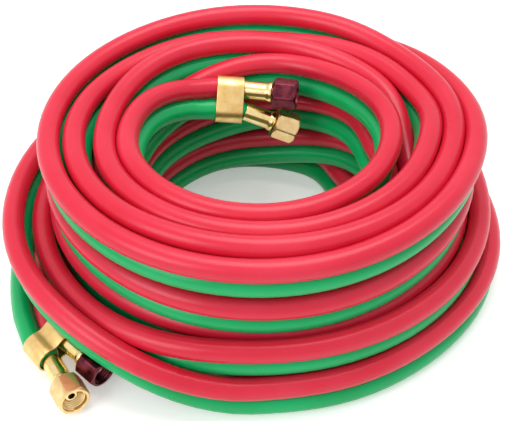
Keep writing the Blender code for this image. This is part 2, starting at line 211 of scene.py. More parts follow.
# ---- Finishes -----------------------------------------------------------------------------------
@dataclass(frozen=True)
class HoseRubber:
    """Vulcanised synthetic rubber cover, extruded smooth and cured under a wrap.

    The eye gets a saturated satin colour with a broad soft highlight, faintly cloudy from place to
    place. A pale speckled stripe along the seam where the two covers are bonded is a painted highlight.
    """

    name: str
    colour: str
    worn_colour: str
    deep_colour: str

    # Sizes drawn on the surface
    SEAM_HALF_WIDTH = 0.0011
    SEAM_REACH = 1.8                     # widest the seam gets, in half widths
    SEAM_RAGGEDNESS = 1.6                # how far the speckles eat it away, in half widths
    SPECKLE_SIZE = 0.0009
    MOTTLE_SIZE = 0.070
    GRAIN_SIZE = 0.0012
    GRAIN_DEPTH = 0.0002

    def material(self) -> bpy.types.Material:
        """Build the material."""
        material = bpy.data.materials.new(self.name)
        material.use_nodes = True
        tree = material.node_tree
        shader = tree.nodes["Principled BSDF"]
        place = add_node(tree, "TexCoord").outputs["Object"]
        around = add_node(tree, "UVMap", {"uv_map": "hose"}).outputs["UV"]
        along_around = add_node(tree, "SeparateXYZ", inputs={0: around})

        mottle = add_node(tree, "TexNoise", inputs={
            "Vector": place, "Scale": 1 / self.MOTTLE_SIZE, "Detail": 4.0, "Roughness": 0.6})
        cover = colour_ramp(tree, mottle.outputs["Fac"], [
            (0.30, hex_colour(self.deep_colour)),
            (0.50, hex_colour(self.colour)),
            (0.72, hex_colour(self.worn_colour))])

        # Seam, with its painted highlight: the distance round the hose from the line that faces its twin
        off_seam = add_node(tree, "Math", {"operation": "ABSOLUTE"},
                            {0: along_around.outputs["Y"]}).outputs[0]
        speckle = add_node(tree, "TexNoise", inputs={
            "Vector": place, "Scale": 1 / self.SPECKLE_SIZE, "Detail": 2.0})
        edge = add_node(tree, "Math", {"operation": "MULTIPLY_ADD"}, {
            0: speckle.outputs["Fac"], 1: -self.SEAM_RAGGEDNESS * self.SEAM_HALF_WIDTH,
            2: self.SEAM_REACH * self.SEAM_HALF_WIDTH})
        seam_highlight_mask = add_node(tree, "Math", {"operation": "LESS_THAN"},
                           {0: off_seam, 1: edge.outputs[0]}).outputs[0]
        # Pale colour painted along the seam is a painted highlight, not a colour of the rubber
        coloured = add_node(tree, "Mix", {"data_type": "RGBA"}, {
            "Factor": seam_highlight_mask, "A": cover, "B": hex_colour("E9D9C4")}).outputs["Result"]
        tree.links.new(coloured, shader.inputs["Base Color"])

        gloss = add_node(tree, "MapRange", inputs={
            "Value": mottle.outputs["Fac"], "From Min": 0.3, "From Max": 0.7,
            "To Min": 0.27, "To Max": 0.33})
        tree.links.new(gloss.outputs["Result"], shader.inputs["Roughness"])
        grain = add_node(tree, "TexNoise", inputs={
            "Vector": place, "Scale": 1 / self.GRAIN_SIZE, "Detail": 3.0})
        bump = add_node(tree, "Bump", inputs={
            "Height": grain.outputs["Fac"], "Strength": 0.10, "Distance": self.GRAIN_DEPTH})
        tree.links.new(bump.outputs["Normal"], shader.inputs["Normal"])
        shader.inputs["IOR"].default_value = 1.5
        shader.inputs["Specular IOR Level"].default_value = 0.36
        return material


@dataclass(frozen=True)
class Brass:
    """Yellow brass, turned or brushed.

    The eye gets a warm gold metal. Turning leaves fine rings round the axis, brushing leaves fine
    straight scratches, and both stretch the highlights across the marks.
    """

    name: str
    colour: str
    dull_colour: str
    roughness: float
    mark_depth: float
    mark_pitch: float = 0.0005           # drawn several times coarser than real tool marks
    tarnish_size: float = 0.006

    def material(self) -> bpy.types.Material:
        """Build the material."""
        material = bpy.data.materials.new(self.name)
        material.use_nodes = True
        tree = material.node_tree
        shader = tree.nodes["Principled BSDF"]
        place = add_node(tree, "TexCoord").outputs["Object"]
        along = add_node(tree, "UVMap", {"uv_map": "axis"}).outputs["UV"]
        marks = add_node(tree, "TexNoise", inputs={
            "Vector": along, "Scale": 1 / self.mark_pitch, "Detail": 2.0})
        tarnish = add_node(tree, "TexNoise", inputs={
            "Vector": place, "Scale": 1 / self.tarnish_size, "Detail": 4.0, "Roughness": 0.65})
        metal = colour_ramp(tree, tarnish.outputs["Fac"], [
            (0.35, hex_colour(self.dull_colour)), (0.62, hex_colour(self.colour))])
        tree.links.new(metal, shader.inputs["Base Color"])
        gloss = add_node(tree, "MapRange", inputs={
            "Value": tarnish.outputs["Fac"], "From Min": 0.3, "From Max": 0.7,
            "To Min": self.roughness + 0.07, "To Max": self.roughness - 0.05})
        tree.links.new(gloss.outputs["Result"], shader.inputs["Roughness"])
        bump = add_node(tree, "Bump", inputs={
            "Height": marks.outputs["Fac"], "Strength": 0.5, "Distance": self.mark_depth})
        tree.links.new(bump.outputs["Normal"], shader.inputs["Normal"])
        shader.inputs["Metallic"].default_value = 1.0
        return material


@dataclass(frozen=True)
class LacqueredBrass:
    """Brass nut dipped in dark red lacquer.

    The eye gets a dark maroon metal with a soft sheen, deeper where the lacquer has pooled.
    """

    name: str = "maroon_lacquer_on_brass"
    colour: str = "7A303E"
    deep_colour: str = "541C28"
    pool_size: float = 0.005

    def material(self) -> bpy.types.Material:
        """Build the material."""
        material = bpy.data.materials.new(self.name)
        material.use_nodes = True
        tree = material.node_tree
        shader = tree.nodes["Principled BSDF"]
        place = add_node(tree, "TexCoord").outputs["Object"]
        pooling = add_node(tree, "TexNoise", inputs={
            "Vector": place, "Scale": 1 / self.pool_size, "Detail": 3.0})
        lacquer = colour_ramp(tree, pooling.outputs["Fac"], [
            (0.35, hex_colour(self.deep_colour)), (0.65, hex_colour(self.colour))])
        tree.links.new(lacquer, shader.inputs["Base Color"])
        gloss = add_node(tree, "MapRange", inputs={
            "Value": pooling.outputs["Fac"], "From Min": 0.3, "From Max": 0.7,
            "To Min": 0.22, "To Max": 0.36})
        tree.links.new(gloss.outputs["Result"], shader.inputs["Roughness"])
        shader.inputs["Metallic"].default_value = 0.85
        return material


# ---- Route of the pair ----------------------------------------------------------------------------
class Station(NamedTuple):
    """Point on the pair's centre line near an end, from the coil's axis."""

    x: float
    y: float
    low: float       # height of the lower hose's centre
    roll: float      # turn of the pair from upright, towards the left of the run to the fitting


class Turn(NamedTuple):
    """One turn of the pair at the back, left, front and right of the coil."""

    reach: tuple[float, float, float, float]    # of the fuel hose, before the coil is squashed
    level: tuple[float, float, float, float]    # row that it lies in, 1 at the floor


COIL_AXIS = Vector((0.0031, 0.0009, 0.0))
COIL_OVALITY = 0.936                     # front to back against side to side
HOSE_DIAMETER = 0.0132
TWIN_SPACING = 0.0135
TWIN_LEAN = 11.0                         # outwards, of the fuel hose over the oxygen hose
ROW_PITCH = 0.0264

INNER_ROUTE = (
    Station(-0.0405, 0.0435, 0.0800, 30),
    Station(-0.0565, 0.0350, 0.0835, 20),
    Station(-0.0690, 0.0232, 0.0848, 14),
    Station(-0.0755, 0.0055, 0.0850, 11),
    Station(-0.0775, -0.0135, 0.0858, 11),
)
# The pair winds down the inner wall, fills the rows from the floor up, winds outwards over the
# top, and comes down the outer wall.
TURNS = (
    Turn((0.0776, 0.0772, 0.0810, 0.0776), (4, 4, 4, 4)),
    Turn((0.0797, 0.0803, 0.0824, 0.0810), (3.72, 3.05, 3, 3)),
    Turn((0.0810, 0.0810, 0.0837, 0.0824), (2.55, 2.02, 2, 2)),
    Turn((0.0837, 0.0824, 0.0837, 0.0837), (1.45, 1, 1, 1)),
    Turn((0.0959, 0.0959, 0.0972, 0.0972), (1, 1, 1, 1)),
    Turn((0.1094, 0.1094, 0.1107, 0.1107), (1, 1, 1, 1)),
    Turn((0.1229, 0.1220, 0.1170, 0.1220), (1, 1, 1, 1)),
    Turn((0.1094, 0.1094, 0.1094, 0.1094), (2, 2, 2, 2)),
    Turn((0.0959, 0.0959, 0.0959, 0.0959), (2, 2, 2, 2)),
    Turn((0.1094, 0.1094, 0.1094, 0.1094), (3, 3, 3, 3)),
    Turn((0.0959, 0.0959, 0.0959, 0.0898), (3, 3, 3, 3.5)),
    Turn((0.0910, 0.0905, 0.0965, 0.0992), (4, 4, 4, 4)),
    Turn((0.1045, 0.1104, 0.1094, 0.1126), (3.62, 3.92, 4, 4)),
    Turn((0.1256, 0.1252, 0.1242, 0.1238), (3.97, 4, 3.96, 4)),
    Turn((0.1256, 0.1242, 0.1229, 0.1229), (3.15, 2.93, 2.76, 2.93)),
    Turn((0.1256, 0.1242, 0.1200, 0.1229), (2.15, 1.93, 1.74, 1.93)),
    Turn((0.1296, 0.1350, 0.1302, 0.1364), (1.5, 1.66, 1.68, 1.92)),
)
OUTER_ROUTE = (
    Station(0.0070, 0.1230, 0.0338, -11),
    Station(-0.0405, 0.1230, 0.0338, -11),
    Station(-0.0865, 0.1060, 0.0338, -11),
    Station(-0.1255, 0.0730, 0.0330, -11),
    Station(-0.1475, 0.0270, 0.0330, -11),
    Station(-0.1510, -0.0080, 0.0330, -11),
    Station(-0.1450, -0.0445, 0.0330, -11),
    Station(-0.1310, -0.0730, 0.0330, -11),
    Station(-0.1150, -0.0920, 0.0324, -11),
    Station(-0.0905, -0.1118, 0.0292, -11),
    Station(-0.0625, -0.1245, 0.0200, -11),
    Station(-0.0340, -0.1285, 0.0112, -8),
    Station(-0.0030, -0.1272, 0.0068, -3),
    Station(0.0505, -0.1203, 0.0066, 0),
    Station(0.0785, -0.1065, 0.0066, 0),
    Station(0.1082, -0.0838, 0.0066, 0),
    Station(0.1360, -0.0455, 0.0066, -5),
    Station(0.1450, -0.0040, 0.0066, -11),
    Station(0.1375, 0.0430, 0.0066, -11),
    Station(0.1135, 0.0865, 0.0066, -11),
    Station(0.0700, 0.1175, 0.0066, -11),
    Station(0.0135, 0.1295, 0.0066, -11),
    Station(-0.0460, 0.1240, 0.0066, 0),
    Station(-0.0945, 0.1010, 0.0066, 30),
    Station(-0.1280, 0.0610, 0.0066, 60),
    Station(-0.1425, 0.0135, 0.0066, 85),
    Station(-0.1440, -0.0270, 0.0066, 88),
    Station(-0.1395, -0.0510, 0.0072, 84),
    Station(-0.1352, -0.0702, 0.0086, 77),
)


@dataclass
class CoilRoute:
    """Where the pair runs, as reach, height and lean at even angles round the coil."""

    steps_per_turn: int = 90
    min_knot_gap: float = 20.0
    fair_rounds: int = 8                 # evening out between the knots
    rounds: int = 240                    # of pushing the turns apart
    push_share: float = 0.5              # of an overlap, in one round
    bend_rounds: int = 20                # how far along the hose a push spreads
    held_steps: int = 8                  # at each end, where no push reaches
    freed_steps: int = 20                # beyond those, over which a push grows to its full size
    settled_turn_yield: float = 0.10     # how far a turn that shows gives way, against a hidden one
    hidden_turns: tuple[int, int] = (4, 11)    # the first, and the one after the last

    def knots(self) -> np.ndarray:
        """Collect the route's knots.

        Returns:
            Rows of total angle, reach of the pair's centre, its height and its outward lean.
        """
        rows = []
        for station in INNER_ROUTE:
            rows.append(self.station_knot(station, station.roll, 0.0))
        lean = math.radians(TWIN_LEAN)
        for index, turn in enumerate(TURNS):
            for quarter, (reach, level) in enumerate(zip(turn.reach, turn.level)):
                angle = 90.0 * (quarter + 1) + 360.0 * index
                if angle <= rows[-1][0] + self.min_knot_gap:
                    continue
                squash = self.squash(math.radians(angle))
                height = HOSE_DIAMETER / 2 + (level - 1) * ROW_PITCH + TWIN_SPACING / 2 * math.cos(lean)
                rows.append((angle, reach * squash - TWIN_SPACING / 2 * math.sin(lean), height, TWIN_LEAN))
        for station in OUTER_ROUTE:
            rows.append(self.station_knot(station, -station.roll, rows[-1][0]))
        return np.array(rows)

    def station_knot(self, station: Station, lean: float, after: float) -> tuple:
        """Turn a station into a knot.

        Args:
            station: Point near an end.
            lean: Outward lean of the pair there.
            after: Total angle that the knot comes after.

        Returns:
            Total angle, reach, height and lean.
        """
        height = station.low + TWIN_SPACING / 2 * abs(math.cos(math.radians(lean)))
        angle = math.degrees(math.atan2(station.y / COIL_OVALITY, station.x)) % 360.0
        while angle < after:
            angle += 360.0
        return angle, math.hypot(station.x, station.y), height, lean

    @staticmethod
    def squash(angle: float) -> float:
        """How much the coil's ovality shortens a reach at an angle in radians."""
        return math.hypot(math.cos(angle), COIL_OVALITY * math.sin(angle))

    def sample(self) -> tuple[np.ndarray, np.ndarray]:
        """Read the knots at even angles along a smooth cubic.

        Returns:
            Total angles in degrees, and rows of reach, height and lean.
        """
        knots = self.knots()
        at, values = knots[:, 0], knots[:, 1:]
        slopes = np.gradient(values, at, axis=0)
        step = 360.0 / self.steps_per_turn
        angles = np.arange(math.ceil(at[0] / step), math.floor(at[-1] / step) + 1) * step
        span = np.clip(np.searchsorted(at, angles, side="right") - 1, 0, len(at) - 2)
        width = (at[span + 1] - at[span])[:, None]
        t = (angles[:, None] - at[span][:, None]) / width
        smooth = ((2 * t ** 3 - 3 * t ** 2 + 1) * values[span]
                  + (t ** 3 - 2 * t ** 2 + t) * width * slopes[span]
                  + (3 * t ** 2 - 2 * t ** 3) * values[span + 1]
                  + (t ** 3 - t ** 2) * width * slopes[span + 1])
        for _ in range(self.fair_rounds):
            smooth[1:-1] = (smooth[:-2] + 2 * smooth[1:-1] + smooth[2:]) / 4
        return angles, smooth

    def settle(self) -> tuple[np.ndarray, np.ndarray]:
        """Push the turns apart until the hoses rest side by side.

        Returns:
            Total angles in degrees, and rows of reach, height and lean.
        """
        angles, route = self.sample()
        step = 360.0 / self.steps_per_turn
        number = np.rint(angles / step).astype(int)
        turn_of, column = number // self.steps_per_turn, number % self.steps_per_turn
        turns = turn_of.max() + 1
        give = np.where((turn_of >= self.hidden_turns[0]) & (turn_of < self.hidden_turns[1]),
                        1.0, self.settled_turn_yield)
        from_end = np.minimum(np.arange(len(angles)), np.arange(len(angles))[::-1])
        give = give * np.clip((from_end - self.held_steps) / self.freed_steps, 0.0, 1.0)
        lean = np.radians(route[:, 2])
        half = TWIN_SPACING / 2 * np.stack([np.sin(lean), np.cos(lean)], axis=1)
        centre = route[:, :2].copy()
        for _ in range(self.rounds):
            hoses = np.full((2, turns, self.steps_per_turn, 2), np.nan)
            hoses[0, turn_of, column] = centre + half
            hoses[1, turn_of, column] = centre - half
            flat = hoses.reshape(2 * turns, self.steps_per_turn, 2)
            apart = flat[:, None] - flat[None, :]
            distance = np.linalg.norm(apart, axis=-1)
            overlap = np.nan_to_num(np.clip(HOSE_DIAMETER - distance, 0.0, None))
            own = np.arange(2 * turns)
            overlap[own, own] = 0.0
            overlap[own, (own + turns) % (2 * turns)] = 0.0
            push = np.nan_to_num(apart / np.maximum(distance, 1e-6)[..., None]) * overlap[..., None]
            push = push.sum(axis=1).reshape(2, turns, self.steps_per_turn, 2).sum(axis=0)
            move = push[turn_of, column] * self.push_share * give[:, None]
            for _ in range(self.bend_rounds):
                move[1:-1] = (move[:-2] + 2 * move[1:-1] + move[2:]) / 4
            centre += move
            lowest = centre[:, 1] - np.abs(half[:, 1])
            centre[:, 1] += np.clip(HOSE_DIAMETER / 2 - lowest, 0.0, None)
        return angles, np.column_stack([centre, route[:, 2]])

    def lines(self) -> dict[Gas, np.ndarray]:
        """Centre line of each hose in the row frame, inner end first."""
        angles, route = self.settle()
        turn = np.radians(angles)
        squash = np.hypot(np.cos(turn), COIL_OVALITY * np.sin(turn))
        outwards = np.stack([np.cos(turn), COIL_OVALITY * np.sin(turn)], axis=1) / squash[:, None]
        lean = np.radians(route[:, 2])
        result = {}
        for gas in Gas:
            reach = route[:, 0] + gas.value * TWIN_SPACING / 2 * np.sin(lean)
            height = route[:, 1] + gas.value * TWIN_SPACING / 2 * np.cos(lean)
            result[gas] = np.column_stack([outwards * reach[:, None] + np.array(COIL_AXIS[:2]), height])
        return result


# ---- End fittings ---------------------------------------------------------------------------------
class Aim(NamedTuple):
    """How one fitting sits at the band: its ferrule's mouth, its two leans and its nut's turn."""

    mouth: float
    splay: float
    rise: float
    nut_turn: float


@dataclass(frozen=True)
class HoseEnd:
    """Where an end's band sits and how its two fittings point."""

    name: str
    band: Vector                         # centre, from the coil's axis
    heading: Vector
    roll: float
    waist: float
    aims: dict[Gas, Aim]

    def frame(self) -> tuple[Vector, Vector, Vector]:
        """Band centre in the row frame, heading, and direction from oxygen to fuel hose."""
        heading = self.heading.normalized()
        roll = math.radians(self.roll)
        leftwards = Vector((-heading.y, heading.x, 0.0)).normalized()
        to_fuel = Vector((0.0, 0.0, math.cos(roll))) + leftwards * math.sin(roll)
        to_fuel = (to_fuel - heading * to_fuel.dot(heading)).normalized()
        return COIL_AXIS + self.band, heading, to_fuel

    def band_placement(self) -> Matrix:
        """Placement of the band: X from oxygen to fuel, Z along the hose."""
        centre, heading, to_fuel = self.frame()
        columns = (to_fuel, heading.cross(to_fuel), heading)
        return Matrix.Translation(centre) @ Matrix(columns).transposed().to_4x4()

    def fitting_placement(self, gas: Gas) -> Matrix:
        """Placement of a fitting: ferrule's mouth at the origin, Z out of the nut."""
        centre, heading, to_fuel = self.frame()
        aim = self.aims[gas]
        mouth = centre + to_fuel * gas.value * TWIN_SPACING / 2 + heading * aim.mouth
        direction = (heading + to_fuel * aim.splay + heading.cross(to_fuel) * aim.rise).normalized()
        across = (to_fuel - direction * to_fuel.dot(direction)).normalized()
        columns = (across, direction.cross(across), direction)
        return Matrix.Translation(mouth) @ Matrix(columns).transposed().to_4x4()


INNER_END = HoseEnd(
    "inner_end", Vector((-0.0198, 0.0462, 0.0836)), Vector((0.985, 0.05, -0.12)), 36.0, 0.0,
    {Gas.FUEL: Aim(0.0075, -0.03, 0.26, 22.0), Gas.OXYGEN: Aim(0.0100, -0.285, -0.11, 26.0)})
OUTER_END = HoseEnd(
    "outer_end", Vector((-0.1222, -0.0925, 0.0112)), Vector((0.65, -0.76, -0.02)), 73.0, 0.0016,
    {Gas.FUEL: Aim(0.0028, 0.110, -0.09, 14.0), Gas.OXYGEN: Aim(0.0098, -0.148, 0.165, 6.0)})


def mark_along_axis(shape: bmesh.types.BMesh, brushed: bool = False) -> None:
    """Give a shape the map that its tool marks follow, before it is placed.

    Args:
        shape: Shape in its own frame, with its axis on Z.
        brushed: Marks run along the axis instead of round it.
    """
    layer = shape.loops.layers.uv.new("axis")
    for face in shape.faces:
        for loop in face.loops:
            point = loop.vert.co
            if brushed:
                loop[layer].uv = (point.x + point.y, point.z * 0.04)
            else:
                loop[layer].uv = (point.z + math.hypot(point.x, point.y), 0.0)


@dataclass
class Band:
    """Brass strap pressed round both hoses."""

    end: HoseEnd
    width: float = 0.0170
    wall: float = 0.0011
    clearance: float = 0.0003
    arc_steps: int = 20
    waist_steps: int = 10
    edge: float = 0.00035

    def outline(self) -> list[tuple[float, float]]:
        """Inner outline round the pair, pressed in by the waist between the hoses."""
        radius = HOSE_DIAMETER / 2 + self.clearance
        half = TWIN_SPACING / 2
        points = []
        for side in (1, -1):
            for step in range(self.arc_steps + 1):
                angle = math.pi * (step / self.arc_steps - 0.5)
                points.append((side * (half + radius * math.cos(angle)), side * radius * math.sin(angle)))
            for step in range(1, self.waist_steps):
                across = half * (1 - 2 * step / self.waist_steps)
                dip = self.end.waist * (1 + math.cos(math.pi * across / half)) / 2
                points.append((side * across, side * (radius - dip)))
        return points

    def build(self, material: bpy.types.Material) -> bpy.types.Object:
        """Build the band in place.

        Args:
            material: Its finish.

        Returns:
            The band.
        """
        shape = bmesh.new()
        corners = [shape.verts.new((across, up, -self.width / 2)) for across, up in self.outline()]
        edges = [shape.edges.new((corners[index - 1], corners[index])) for index in range(len(corners))]
        pulled = bmesh.ops.extrude_edge_only(shape, edges=edges)["geom"]
        moved = [item for item in pulled if isinstance(item, bmesh.types.BMVert)]
        bmesh.ops.translate(shape, vec=(0, 0, self.width), verts=moved)
        bmesh.ops.recalc_face_normals(shape, faces=shape.faces)
        bmesh.ops.solidify(shape, geom=shape.faces[:], thickness=-self.wall)
        rims = [edge for edge in shape.edges
                if abs(abs(edge.verts[0].co.z) - self.width / 2) < 1e-6
                and abs(edge.verts[0].co.z - edge.verts[1].co.z) < 1e-6
                and edge.calc_face_angle(0.0) > 1.0]
        bmesh.ops.bevel(shape, geom=rims, offset=self.edge, segments=3, profile=0.5,
                        affect="EDGES", material=-1)
        bmesh.ops.recalc_face_normals(shape, faces=shape.faces)
        mark_along_axis(shape, brushed=True)
        return finish_piece(f"brass_band_{self.end.name}", shape, self.end.band_placement(), material)


@dataclass
class Fitting:
    """Ferrule, barbed nipple and swivel nut on one hose end."""

    end: HoseEnd
    gas: Gas
    steps: int = 72
    # Ferrule
    ferrule_length: float = 0.0200
    ferrule_diameter: float = 0.0116
    ferrule_wall: float = 0.0007
    lip_diameter: float = 0.0131
    lip_length: float = 0.0020
    flare: float = 0.0018
    end_wall: float = 0.0014
    collar_length: float = 0.0016
    # Nipple
    bore: float = 0.0040
    neck: float = 0.0086
    seat_diameter: float = 0.0116
    seat_length: float = 0.0022
    seat_cone: float = 0.0034
    seat_tip: float = 0.0074
    # Nut
    across_flats: float = 0.01746
    across_corners: float = 0.0196
    nut_length: float = 0.0150
    back_wall: float = 0.0045
    thread_bore: float = 0.0128
    thread_depth: float = 0.00055
    thread_pitch: float = 0.0254 / 18    # 18 threads to the inch
    mouth: float = 0.0146
    lead_in: float = 0.0009
    chamfer: float = 0.0013
    face_margin: float = 0.0003          # of each end face inside the flats
    end_gap: float = 0.0006
    running_clearance: float = 0.0004
    clearance: float = 0.0003

    @property
    def label(self) -> str:
        """Gas and end, for piece names."""
        return f"{self.gas.label}_{self.end.name}"

    def build_ferrule(self, material: bpy.types.Material) -> bpy.types.Object:
        """Turn the crimped sleeve with its flared, rolled lip.

        Args:
            material: Its finish.

        Returns:
            The ferrule.
        """
        outside, lip = self.ferrule_diameter / 2, self.lip_diameter / 2
        hole = self.neck / 2 + self.clearance
        top = self.ferrule_length
        start = top - self.lip_length
        section = rounded([
            (hole, top, 0.0003),
            (lip, top, 0.0009),
            (lip, start, 0.0008),
            (outside, start - self.flare, 0.0030),
            (outside, 0.0, 0.0003),
            (outside - self.ferrule_wall, 0.0, 0.0002),
            (outside - self.ferrule_wall, top - self.end_wall, 0.0),
            (hole, top - self.end_wall, 0.0),
        ], steps=6)
        shape = turned(section, self.steps)
        mark_along_axis(shape)
        return finish_piece(f"ferrule_{self.label}", shape, self.end.fitting_placement(self.gas), material)

    def build_nipple(self, material: bpy.types.Material) -> bpy.types.Object:
        """Turn the nipple from its collar to its seat.

        Args:
            material: Its finish.

        Returns:
            The nipple.
        """
        bore, neck, seat = self.bore / 2, self.neck / 2, self.seat_diameter / 2
        seat_start = self.ferrule_length + self.end_gap + self.back_wall + self.clearance
        tip = seat_start + self.seat_length + self.seat_cone
        foot = self.ferrule_length - self.end_wall - self.clearance - self.collar_length
        section = rounded([
            (bore, tip, 0.0003),
            (self.seat_tip / 2, tip, 0.0012),
            (seat, seat_start + self.seat_length, 0.0010),
            (seat, seat_start, 0.0003),
            (neck, seat_start, 0.0),
            (neck, foot, 0.0),
            (bore, foot, 0.0),
        ], steps=6)
        shape = turned(section, self.steps)
        mark_along_axis(shape)
        return finish_piece(f"nipple_{self.label}", shape, self.end.fitting_placement(self.gas), material)

    def nut_blank(self) -> bmesh.types.BMesh:
        """Turn the nut's blank: chamfered ends, back hole, bore and lead-in."""
        back = self.ferrule_length + self.end_gap
        front = back + self.nut_length
        blank = self.across_corners / 2
        face = self.across_flats / 2 - self.face_margin
        root = self.thread_bore / 2 + self.thread_depth
        return turned([
            (self.mouth / 2, front),
            (face, front),
            (blank, front - self.chamfer),
            (blank, back + self.chamfer),
            (face, back),
            (self.neck / 2 + self.running_clearance, back),
            (self.neck / 2 + self.running_clearance, back + self.back_wall),
            (root, back + self.back_wall),
            (root, front - self.lead_in),
        ], self.steps)

    def cut_hexagon(self, shape: bmesh.types.BMesh) -> bmesh.types.BMesh:
        """Mill six flats on the blank.

        Args:
            shape: The turned blank.

        Returns:
            The blank with its flats.
        """
        for flat in range(6):
            outwards = Matrix.Rotation(math.radians(60 * flat), 3, "Z") @ Vector((1, 0, 0))
            milled = bmesh.ops.bisect_plane(
                shape, geom=shape.verts[:] + shape.edges[:] + shape.faces[:],
                plane_co=outwards * self.across_flats / 2, plane_no=outwards, clear_outer=True)
            rim = [item for item in milled["geom_cut"] if isinstance(item, bmesh.types.BMEdge)]
            bmesh.ops.contextual_create(shape, geom=rim)
        return shape

    def add_thread(self, shape: bmesh.types.BMesh) -> None:
        """Wind the thread's ridge up the bore, left-handed on a fuel nut.

        Args:
            shape: The nut.
        """
        start = self.ferrule_length + self.end_gap + self.back_wall + 0.0002
        end = self.ferrule_length + self.end_gap + self.nut_length - self.lead_in
        crest, root = self.thread_bore / 2, self.thread_bore / 2 + self.thread_depth + 0.00005
        turns = (end - start) / self.thread_pitch - 1
        steps = 40
        corners = [shape.verts.new((radius, 0.0, start + height * self.thread_pitch))
                   for radius, height in ((root, 0.02), (crest, 0.42), (crest, 0.58), (root, 0.98))]
        edges = [shape.edges.new(pair) for pair in zip(corners, corners[1:])]
        bmesh.ops.spin(shape, geom=corners + edges, cent=(0, 0, 0), axis=(0, 0, 1),
                       angle=self.gas.thread_hand * math.tau * turns, steps=int(steps * turns),
                       dvec=(0, 0, self.thread_pitch / steps))

    def build_nut(self, material: bpy.types.Material) -> bpy.types.Object:
        """Build the threaded hexagon nut.

        Args:
            material: Its finish.

        Returns:
            The nut.
        """
        shape = self.cut_hexagon(self.nut_blank())
        bmesh.ops.recalc_face_normals(shape, faces=shape.faces)
        self.add_thread(shape)
        mark_along_axis(shape)
        turned_by = Matrix.Rotation(math.radians(self.end.aims[self.gas].nut_turn), 4, "Z")
        return finish_piece(f"swivel_nut_{self.label}", shape,
                            self.end.fitting_placement(self.gas) @ turned_by,
                            material, smooth_below=28.0)


# ---- Hoses ------------------------------------------------------------------------------------------
@dataclass
class Hose:
    """One rubber hose of the pair, from one ferrule to the other."""

    gas: Gas
    facets: int = 28
    seam_rise: float = 0.00035
    seam_spread: float = 0.16            # radians
    band_half_width: float = 0.0085
    neck_radius: float = 0.0048          # where the ferrule grips the hose
    neck_length: float = 0.0160
    neck_lead: float = 0.0009            # before the ferrule's mouth
    shoulder: float = 0.0030

    def end_points(self, end: HoseEnd) -> tuple[list[Vector], list[float]]:
        """Points and radii from before the band into the ferrule.

        Args:
            end: The end that the hose runs to.

        Returns:
            Points in the row frame and the hose's radius at each.
        """
        centre, heading, to_fuel = end.frame()
        in_band = centre + to_fuel * self.gas.value * TWIN_SPACING / 2
        aim = end.aims[self.gas]
        placement = end.fitting_placement(self.gas)
        full = HOSE_DIAMETER / 2
        points = [in_band - heading * self.band_half_width * 1.2,
                  in_band,
                  in_band + heading * (aim.mouth - self.shoulder),
                  placement @ Vector((0, 0, -self.neck_lead)),
                  placement @ Vector((0, 0, self.neck_length))]
        return points, [full, full, full, self.neck_radius, self.neck_radius]

    def centre_line(self, coil_line: np.ndarray, twin_line: np.ndarray) -> tuple:
        """Join the coil's line to the fittings at both ends.

        Args:
            coil_line: This hose's points round the coil, inner end first.
            twin_line: The other hose's points.

        Returns:
            Points, radii and directions to the twin.
        """
        inner, inner_radii = self.end_points(INNER_END)
        outer, outer_radii = self.end_points(OUTER_END)
        points = np.vstack([np.array(inner[::-1]), coil_line, np.array(outer)])
        radii = np.concatenate([inner_radii[::-1], np.full(len(coil_line), HOSE_DIAMETER / 2),
                                outer_radii])
        inner_twin = -self.gas.value * np.array(INNER_END.frame()[2])
        outer_twin = -self.gas.value * np.array(OUTER_END.frame()[2])
        to_twin = np.vstack([np.tile(inner_twin, (len(inner), 1)), twin_line - coil_line,
                             np.tile(outer_twin, (len(outer), 1))])
        return points, radii, to_twin

    def build(self, points: np.ndarray, radii: np.ndarray, to_twin: np.ndarray,
              material: bpy.types.Material) -> bpy.types.Object:
        """Sweep the hose's round section, with its bond ridge, along the line.

        Args:
            points: Centre line.
            radii: Radius at each point.
            to_twin: Direction to the other hose at each point.
            material: Its finish.

        Returns:
            The hose.
        """
        along = np.gradient(points, axis=0)
        along /= np.linalg.norm(along, axis=1, keepdims=True)
        across = to_twin - along * np.sum(to_twin * along, axis=1, keepdims=True)
        across /= np.linalg.norm(across, axis=1, keepdims=True)
        third = np.cross(along, across)
        angle = np.linspace(-math.pi, math.pi, self.facets + 1)
        ridge = self.seam_rise * np.exp(-(angle / self.seam_spread) ** 2)
        reach = radii[:, None] + ridge[None, :]
        rings = (points[:, None] + (reach * np.cos(angle))[..., None] * across[:, None]
                 + (reach * np.sin(angle))[..., None] * third[:, None])
        distance = np.concatenate([[0.0], np.cumsum(np.linalg.norm(np.diff(points, axis=0), axis=1))])

        shape = bmesh.new()
        bmesh.ops.create_grid(shape, x_segments=self.facets, y_segments=len(points) - 1, size=1.0)
        shape.verts.ensure_lookup_table()
        layer = shape.loops.layers.uv.new("hose")
        for vert in shape.verts:
            ring, facet = divmod(vert.index, self.facets + 1)
            for loop in vert.link_loops:
                loop[layer].uv = (distance[ring], angle[facet] * HOSE_DIAMETER / 2)
        for vert, place in zip(shape.verts, rings.reshape(-1, 3)):
            vert.co = place
        bmesh.ops.remove_doubles(shape, verts=shape.verts, dist=0.000005)
        rims = [edge for edge in shape.edges if edge.is_boundary]
        bmesh.ops.holes_fill(shape, edges=rims, sides=self.facets + 2)
        bmesh.ops.recalc_face_normals(shape, faces=shape.faces)
        return finish_piece(f"{self.gas.label}_hose", shape, Matrix.Identity(4), material, smooth_below=60.0)


